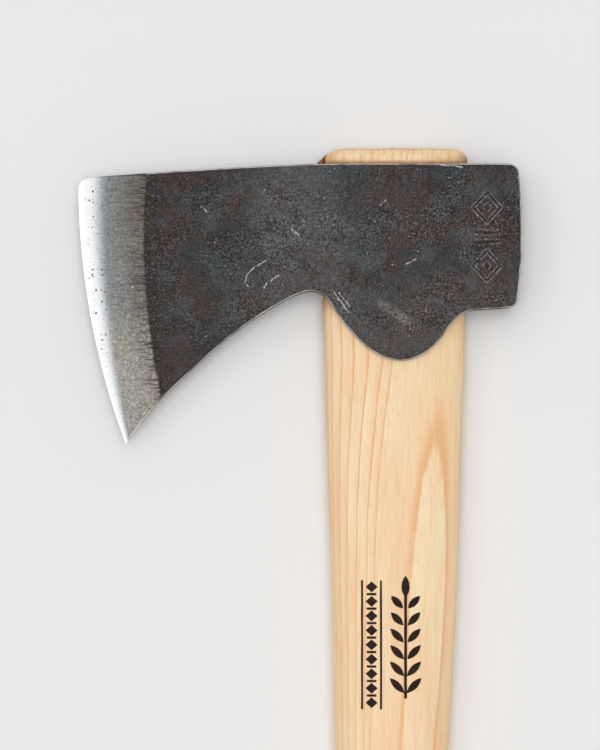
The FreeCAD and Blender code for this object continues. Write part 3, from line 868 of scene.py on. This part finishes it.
def forge_scale(g, f):
    """Mottled blue-grey and brown-grey scale, with flecks, rust specks and oxide at the shoulder, and a
    painted sheen across the flare in place of a reflection.
    """
    broad = g.noise(17, 3.0, 0.55)
    hue = g.noise(1.7, 2.0, 0.6, shift=(6, 2, 2))
    lug = g.times(g.step(f.y, *LUG_Y), g.step(f.x, *LUG_X))
    painted_sheen = g.times(g.step(f.x, *SHEEN_FRONT_X), g.step(f.x, *SHEEN_BACK_X))
    brow = g.times(g.step(f.x, *BROW_X), g.step(f.y, *BROW_Y))
    thick = g.step(g.noise(13, shift=(5, 5, 1)), 0.4, 0.62)
    pale = g.times(g.blend(thick, 0.25, 0.6), g.step(f.x, *FEWER_FLECKS_X, 1.0, 0.6))
    rust, kind = specks(g, 2.7, (0.12, 0.06))
    oxide = g.times(g.step(f.behind, 4.6, 0.8), g.step(f.blotch, 0.36, 0.5))
    return g.paint(
        g.mix(g.step(broad, 0.40, 0.60), (68, 57, 52), (53, 56, 60)),
        (g.step(hue, 0.52, 0.66, 0.0, 0.5), (74, 58, 52)),
        (g.step(hue, 0.48, 0.34, 0.0, 0.5), (48, 56, 62)),
        (g.step(f.blotch, 0.50, 0.66), 0.7, (74, 80, 81)),
        (lug, 0.6, (84, 79, 76)),
        (g.step(f.x, *DARK_BLADE_X, 0.0, 0.28), (34, 34, 36)),
        # painted sheen: a lighter blue-grey band across the flare, standing in for a reflection
        (painted_sheen, g.step(broad, 0.3, 0.6, 0.25, 0.6), (86, 86, 89)),
        (brow, 0.22, (52, 40, 36)),
        (g.step(f.patches, 0.48, 0.34), 0.55, (44, 34, 31)),
        (g.step(f.grain, 0.52, 0.34), g.blend(thick, 0.4, 0.85), (20, 18, 18)),
        (g.step(f.grain, 0.52, 0.72), pale, (124, 118, 114)),
        (g.step(f.worms, 0.60, 0.74), pale, (150, 147, 144)),
        (g.value("stamp"), 0.6, (26, 22, 22)),
        (rust, g.mix(g.step(kind, 0.3, 0.7), (150, 84, 48), (186, 158, 118))),
        (oxide, 0.75, g.mix(g.step(f.grain, 0.56, 0.72), (42, 38, 32), (120, 106, 84))),
    )


def ground_bevel(g, f):
    """Fine scratches across the edge, darker where they run out at the shoulder."""
    brushed = g.noise((9.0, 0.7, 3.0), shift=(5, 2, 0))
    dragged = g.noise((8.0, 0.6, 3.0), 2.0, 0.6, shift=(0, 8, 0), warp=0.3)
    near_toe = g.times(g.step(f.y, *TOE_Y), g.step(f.behind, -14.0, -3.0))
    run_out = g.times(g.step(f.scratches, 0.45, 0.6), g.step(f.behind, -7.0, -0.8))
    # rare specks: brown ones of rust, and pale ones that are painted glints
    rust_and_glints, kind = specks(g, 1.9, (0.15, 0.08), shift=(4, 4, 4))
    return g.paint(
        g.mix(g.step(f.behind, -17.0, -0.5), (108, 114, 119), (90, 87, 80)),
        (g.step(brushed, 0.35, 0.65), 0.30, (124, 122, 118)),
        (f.heel, 0.6, (136, 131, 122)),
        (g.step(f.speckle, 0.54, 0.7), g.blend(f.heel, 0.28, 0.6), (176, 172, 164)),
        (g.step(f.speckle, 0.47, 0.33), 0.45, (58, 56, 54)),
        (near_toe, g.step(dragged, 0.38, 0.6, 0.1, 0.7), (84, 77, 70)),
        (run_out, 0.75, (44, 39, 34)),
        (rust_and_glints, g.mix(g.step(kind, 0.4, 0.6), (116, 74, 44), (222, 212, 192))),
    )


def honed_edge(g, f):
    """The nearly white edge with a few brown pits: its colour, where it lies, and the pits."""
    dither = g.noise((1.6, 0.5, 1), 3.0, 0.7, shift=(1, 7, 0))
    fade = g.add(f.honed, g.centred(dither, 0.5))
    along_edge = g.noise((9, 12, 9), 1.0, shift=(6, 6, 0))
    spot, pick = g.cells(1.4, shift=(2, 9, 5))
    near = g.step(g.add(spot, g.centred(f.speckle, 0.7)), 0.28, 0.16)
    pits = g.times(near, g.step(g.add(pick[0], g.times(along_edge, 0.9)), 1.06, 1.1))
    pits = g.times(pits, g.times(g.step(f.honed, 0.1, 0.2), g.step(f.y, *PITTED_EDGE_Y)))
    colour = g.paint(
        g.mix(g.step(f.honed, 0.3, 1.0), (180, 180, 180), (160, 163, 165)),
        (g.step(fade, 0.32, 0.12), (232, 232, 232)),
        (g.step(f.speckle, 0.48, 0.32), 0.4, (140, 140, 140)),
        (pits, g.mix(g.step(pick[1], 0.35, 0.6), (88, 56, 40), (170, 118, 62))),
    )
    return colour, g.step(fade, 1.42, 0.62), pits


def bare_metal_and_highlight(g, f, is_scale):
    """Bright lines along the outline of the cheeks, the touchmark's rim and the scratches. The scratches
    are worn bare metal; the lines along the outline and round the touchmark are worn bare metal with a
    painted highlight where those edges catch the light.
    """
    # partly painted highlight: a bright line just inside the rounded outline, where the arris catches the
    # light, and partly its worn bare metal
    line_end = g.step(g.add(f.inside, g.centred(f.patches, 0.225)), 0.46, 0.26)
    line = g.times(g.step(f.inside, 0.05, 0.18), line_end)
    line = g.times(line, g.step(g.noise(6, shift=(7, 7, 2)), 0.32, 0.56, 0.25, 1.0))
    # the touchmark's raised rim: bare metal with painted glints
    marks = g.times(g.value("stamp_rim"), g.step(f.grain, 0.4, 0.55, 0.2, 0.7))
    wobble = g.vector("SUBTRACT", g.noise(2.6, output="Color"), (0.5, 0.5, 0.5))
    wobbly = g.vector("MULTIPLY", g.vector("ADD", f.flat, wobble), (1.0, 1.0, 0.0))
    for points, width in SCRATCHES:
        for start, stop in zip(points, points[1:]):
            marks = g.math("MAXIMUM", marks, g.scratch(wobbly, start, stop, width))
    smear = g.times(g.scratch(wobbly, *SMEAR), g.step(f.worms, 0.40, 0.62, 0.08, 0.34))
    upper = g.step(g.split(g.place())[2], CHEEK_HALF, CHEEK_HALF + 1)
    marks = g.times(g.math("MAXIMUM", marks, smear), upper)
    marks = g.times(marks, g.step(g.noise(0.9, shift=(3, 9, 3)), 0.36, 0.56, 0.08, 0.6))
    where = g.math("MAXIMUM", is_scale, g.times(f.heel, 0.55))
    return g.times(g.math("MAXIMUM", line, marks), where)


def forged_steel():
    """Scale behind the slightly ragged shoulder, the ground bevel ahead of it, and the edge."""
    g = Graph("forged_steel")
    f = steel_fields(g)
    is_scale = g.step(g.add(f.behind, g.centred(f.scratches, 2.2)), -0.35, 0.35)
    shine, polished, pits = honed_edge(g, f)
    bare_and_highlit = bare_metal_and_highlight(g, f, is_scale)
    # painted shade: the outermost strip of the scaled cheeks, and the walls round it, are darkened like a
    # thin shadow line at the edge
    painted_edge_shade = g.times(g.step(f.inside, 0.14, 0.02), is_scale)
    colour = g.paint(
        g.mix(is_scale, ground_bevel(g, f), forge_scale(g, f)),
        (polished, shine),
        (painted_edge_shade, 0.6, (38, 28, 22)),
        # worn bare metal, with painted highlights along the outline and the touchmark's rim
        (bare_and_highlit, 0.9, (226, 223, 221)),
    )
    metal = g.blend(is_scale, 1.0, g.blend(bare_and_highlit, 0.25, 0.3))
    scale_rough = g.step(f.grain, 0.3, 0.7, 0.62, 0.42)
    rough = g.blend(is_scale, g.blend(polished, 0.36, 0.22), g.blend(bare_and_highlit, scale_rough, 0.38))
    rough = g.blend(g.times(pits, polished), rough, 0.8)
    pitted = g.bump(g.add(f.grain, g.times(f.patches, 0.8)), 0.2, 0.7)
    lined = g.bump(g.add(f.scratches, f.speckle), 0.03, 0.4)
    return g.finish(Base_Color=colour, Metallic=metal, Roughness=rough, Specular_IOR_Level=0.2,
                    Normal=g.mix(is_scale, lined, pitted, "VECTOR"))


# --- the wood -------------------------------------------------------------------------------
# Growth rings, mm: the height of the lowest one above the mid-plane of the blade, on the
# centreline of the eye, and the width of each year's growth from there up
FIRST_RING = -16.2
RING_WIDTHS = [2.5, 2.2, 2.2, 2.3, 2.1, 2.1, 2.2, 2.4, 2.1, 2.0, 1.8, 1.0, 4.1, 2.1, 1.7, 1.9]
RING_LEAN = 0.28    # how far the rings drop for each mm towards the poll
RING_RISE = 0.0017    # and for each mm towards the butt
RINGS_AT_Y = -93.0    # where along the handle their heights are given
WOOD_TINT = (1.0, 0.972, 0.905, 1.0)
FLANK_PAINTED_LIGHT = (1.15, 1.07, 0.95, 1.0)    # painted light: the wood is made lighter and more orange where it turns down at the sides, where the lamps light it less
TONGUE_FROM_Y = (-0.5, 0.3)  # the tongue's looks come in between these
STAIN_TOP_Y, STAIN_LOW_Y = (1.6, 0.2), (-50.0, -40.0)
TONGUE_END_SHADE_X = (18.0, 22.0)    # painted shade: the tongue darkens over this span towards each of its ends, measured from its middle
TONGUE_MIDDLE_X = 0.5


def ring_field(g):
    """Counts growth rings through the wood: whole numbers where one ring ends."""
    x, y, z = g.split(g.place())
    levels = FIRST_RING + np.cumsum([0] + RING_WIDTHS)
    low, high, count = levels[0], levels[-1], len(RING_WIDTHS)
    height = g.add(g.minus(z, CHEEK_HALF), g.times(g.minus(x, origin[0] / MM), RING_LEAN))
    given_at = origin[1] / MM + RINGS_AT_Y
    height = g.minus(height, g.times(g.minus(y, given_at), RING_RISE))
    sway = g.centred(g.noise((16, 110, 16), 1.0, shift=(2, 3, 4)), 0.8)
    ripple = g.centred(g.noise((3.2, 26, 3.2), shift=(7, 1, 0)), 0.5)
    height = g.add(height, g.add(sway, ripple))
    curve = g.node("FloatCurve", {"Value": g.times(g.minus(height, low), 1 / (high - low))})
    points = curve.mapping.curves[0].points
    for k, level in enumerate(levels[1:-1], 1):
        points.new((level - low) / (high - low), k / count)
    for point in points:
        point.handle_type = "VECTOR"
    curve.mapping.update()
    return g.times(curve.outputs[0], count)


def handle_wood():
    g = Graph("handle_wood")
    x, y, _ = g.split(g.place())
    above = g.minus(y, origin[1] / MM)
    on_tongue = g.step(above, *TONGUE_FROM_Y)
    rings = ring_field(g)
    part = g.math("FRACT", rings)
    faint = g.times(g.blend(on_tongue, 1.0, 0.25), g.step(rings, 11.6, 12.4, 1.0, 0.62))
    late = g.times(g.math("POWER", part, 1.9), g.blend(on_tongue, 1.0, 0.4))
    line = g.times(g.times(g.step(part, 0.84, 0.965), g.step(part, 1.0, 0.975)), faint)
    strong = g.noise((60, 300, 60), 0.0, shift=(1, 2, 3))
    fibre = g.noise((0.36, 8, 0.36), 3.0, 0.6)
    streak = g.noise((1.3, 45, 1.3), 2.0, 0.55, shift=(3, 0, 9))
    blush = g.noise((9, 46, 9), shift=(11, 5, 2))
    colour = g.paint(
        g.mix(g.step(blush, 0.36, 0.64), (243, 224, 191), (241, 211, 176)),
        (late, 0.52, (238, 188, 138)),
        (line, g.step(strong, 0.3, 0.7, 0.5, 0.85), (226, 158, 104)),
        (g.step(streak, 0.45, 0.75), 0.30, (232, 192, 150)),
        (g.step(fibre, 0.48, 0.72), 0.36, (222, 172, 120)),
        (g.step(fibre, 0.46, 0.26), 0.36, (252, 238, 210)),
    )
    colour = g.mix(1.0, colour, WOOD_TINT, blend="MULTIPLY")
    # painted light: lighter, warmer colour on the sides of the handle, which face away from the lamps
    colour = g.mix(g.step(g.facing(2), 0.85, 0.30), colour, FLANK_PAINTED_LIGHT, blend="MULTIPLY")

    # end grain drinks the oil, the tongue is stained where it meets the steel, and painted shade darkens
    # the tongue towards its ends
    end = g.step(g.facing(1), 0.8, 0.98)
    pores = g.noise((0.5, 6, 0.5), 3.0, 0.7, shift=(4, 4, 4))
    stripes = g.noise((0.8, 60, 5), 2.0, 0.6, shift=(4, 0, 0))
    off_middle = g.math("ABSOLUTE", g.minus(x, origin[0] / MM + TONGUE_MIDDLE_X))
    stain = g.times(g.step(above, *STAIN_TOP_Y), g.step(above, *STAIN_LOW_Y))
    uneven = g.noise((1.0, 3.0, 1.0), 2.0, 0.6, shift=(1, 1, 8))
    stain = g.times(stain, g.step(uneven, 0.2, 0.6, 0.55, 1.0))
    colour = g.paint(
        colour,
        (end, 0.5, g.mix(g.step(pores, 0.35, 0.65), (182, 130, 82), (224, 184, 138))),
        (end, g.times(late, 0.5), (160, 106, 62)),
        (on_tongue, g.step(stripes, 0.5, 0.62, 0.0, 0.55), (226, 168, 118)),
        (on_tongue, g.step(stripes, 0.46, 0.36, 0.0, 0.55), (244, 218, 168)),
        # painted shade towards the tongue's two ends, where it rounds down to the steel
        (on_tongue, g.step(off_middle, *TONGUE_END_SHADE_X, 0.0, 0.6), (206, 148, 96)),
        (stain, 0.85, (160, 94, 6)),
    )

    # the burned mark is charred, with a faint scorched rim
    char = g.value("burn")
    uneven = g.noise(1.1, 3.0, 0.6, shift=(0, 5, 5))
    burned = g.step(g.add(char, g.centred(uneven, 0.25)), 0.3, 0.62)
    colour = g.paint(
        colour,
        (g.step(char, 0.02, 0.4), 0.5, (150, 98, 56)),
        (burned, g.mix(g.step(uneven, 0.35, 0.7), (20, 15, 13), (44, 33, 26))),
    )
    rough = g.blend(burned, g.step(fibre, 0.3, 0.7, 0.46, 0.6), 0.85)
    bumpy = g.bump(g.add(fibre, g.times(streak, 0.5)), 0.035, 0.5)
    return g.finish(Base_Color=colour, Roughness=rough, Specular_IOR_Level=0.35, Normal=bumpy)


# --- the wedges -----------------------------------------------------------------------------
def wedge_wood():
    g = Graph("wedge_wood")
    bands = g.noise((4.0, 30, 0.7))
    streaks = g.noise((0.8, 9, 5), 2.0, 0.6, shift=(1, 6, 2))
    fibre = g.noise((0.3, 8, 0.3), 2.0, 0.6, shift=(3, 3, 3))
    side = g.step(g.facing(1), 0.9, 0.6)
    colour = g.paint(
        g.mix(g.step(bands, 0.36, 0.64), (122, 74, 38), (178, 122, 74)),
        (side, g.step(streaks, 0.54, 0.46), (64, 32, 14)),
        (side, g.step(streaks, 0.56, 0.64, 0.0, 0.7), (214, 156, 96)),
        (g.step(fibre, 0.5, 0.75), 0.4, (70, 38, 20)),
    )
    return g.finish(Base_Color=colour, Roughness=g.step(fibre, 0.3, 0.7, 0.5, 0.68),
                    Normal=g.bump(fibre, 0.05, 0.6))


def wedge_steel():
    g = Graph("wedge_steel")
    mottle = g.noise(1.2, 4.0, 0.65)
    hammered = g.noise(2.4, 1.0, shift=(5, 5, 5))
    rusty = g.step(g.noise(0.8, shift=(2, 8, 2)), 0.62, 0.7)
    colour = g.mix(g.step(mottle, 0.35, 0.65), (112, 108, 104), (168, 168, 170))
    colour = g.mix(rusty, colour, (126, 84, 56))
    return g.finish(Base_Color=colour, Metallic=0.9, Roughness=g.step(mottle, 0.3, 0.7, 0.5, 0.3),
                    Normal=g.bump(hammered, 0.2, 0.5))


def dress(piece, material):
    """Gives a piece one material and smooth shading that keeps its sharp arrises."""
    piece.data.materials.clear()
    piece.data.materials.append(material)
    piece.data.shade_smooth()
    piece.data.set_sharp_from_angle(angle=math.radians(SHARP_ANGLE))


# --- the object -----------------------------------------------------------------------------
head = build_head()
carve(head, eye_cutter())
dress(head, forged_steel())
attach(head, BODY)
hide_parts("axe_head")

handle = build_handle()
dress(handle, handle_wood())
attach(handle, BODY)
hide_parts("handle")

for node, material in (("wooden_wedge", wedge_wood()), ("steel_wedge", wedge_steel())):
    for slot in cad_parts[node].material_slots:
        slot.material = material

# --- floor, light and camera ----------------------------------------------------------------
VIEW_HEIGHT = 240.0 * MM     # what the camera sees from bottom to top, at the mid-plane of the blade
LOOK_AT = to_row([-30.56, -67.2, 0.0])
LENS, SENSOR = 250.0, 36.0
FLOOR_HALF = 30.0    # metres
SKY_ON_SURFACES, SKY_SEEN = 0.325, 0.81    # the surroundings as light on surfaces, and in view
KEY, OVERHEAD, EDGE_GLOW = 0.94, 1.27, 5.0   # the lamps' strengths


def floor_material():
    g = Graph("studio_floor")
    tone = g.mix(g.noise(400), (0.80, 0.80, 0.80, 1), (0.81, 0.81, 0.81, 1))
    return g.finish(Base_Color=tone, Roughness=0.9, Specular_IOR_Level=0.0)


def add_floor():
    mesh = bpy.data.meshes.new("studio_floor")
    s = FLOOR_HALF
    mesh.from_pydata([(-s, -s, 0), (s, -s, 0), (s, s, 0), (-s, s, 0)], [], [(0, 1, 2, 3)])
    mesh.materials.append(floor_material())
    floor = linked("studio_floor", mesh)


def add_light(name, kind, strength, towards, spread=None, size=None, place=(0, 0, 1),
              glossy=True, diffuse=True):
    """A lamp that shines along towards. A sun has a spread in degrees, an area lamp a size."""
    data = bpy.data.lights.new(name, kind)
    data.energy = strength
    if kind == "SUN":
        data.angle = math.radians(spread)
    else:
        data.shape = "RECTANGLE"
        data.size, data.size_y = size
    lamp = linked(name, data)
    lamp.rotation_euler = Vector(towards).to_track_quat("-Z", "Y").to_euler()
    lamp.location = place
    lamp.visible_camera, lamp.visible_glossy, lamp.visible_diffuse = False, glossy, diffuse


def add_world():
    """White surroundings. They are dimmer as light on matt surfaces than in view or reflected."""
    world = bpy.data.worlds.new("studio")
    bpy.context.scene.world = world
    world.use_nodes = True
    nodes, links = world.node_tree.nodes, world.node_tree.links
    back = nodes["Background"]
    back.inputs["Color"].default_value = (1, 1, 1, 1)
    lighting = nodes.new("ShaderNodeLightPath").outputs["Is Diffuse Ray"]
    level = nodes.new("ShaderNodeMapRange")
    links.new(lighting, level.inputs["Value"])
    level.inputs["To Min"].default_value = SKY_SEEN
    level.inputs["To Max"].default_value = SKY_ON_SURFACES
    links.new(level.outputs[0], back.inputs["Strength"])
    world.cycles.sampling_method = "NONE"


def add_camera():
    data = bpy.data.cameras.new("camera")
    data.sensor_width, data.lens = SENSOR, LENS
    data.clip_end = 100
    camera = linked("camera", data)
    camera.location = Vector(LOOK_AT) + Vector((0, 0, VIEW_HEIGHT * LENS / SENSOR))
    bpy.context.scene.camera = camera


add_floor()
add_world()
add_light("key", "SUN", KEY, (0.14, -0.15, -1.0), spread=55, glossy=False)
add_light("overhead", "SUN", OVERHEAD, (0.0, -0.04, -1.0), spread=22, glossy=False)
add_light("edge_glow", "AREA", EDGE_GLOW, (0.75, 0.0, -1.0), size=(0.7, 1.6), place=(-0.85, 0.05, 1.0),
          diffuse=False)
add_camera()
bpy.context.scene.view_settings.view_transform = "Standard"
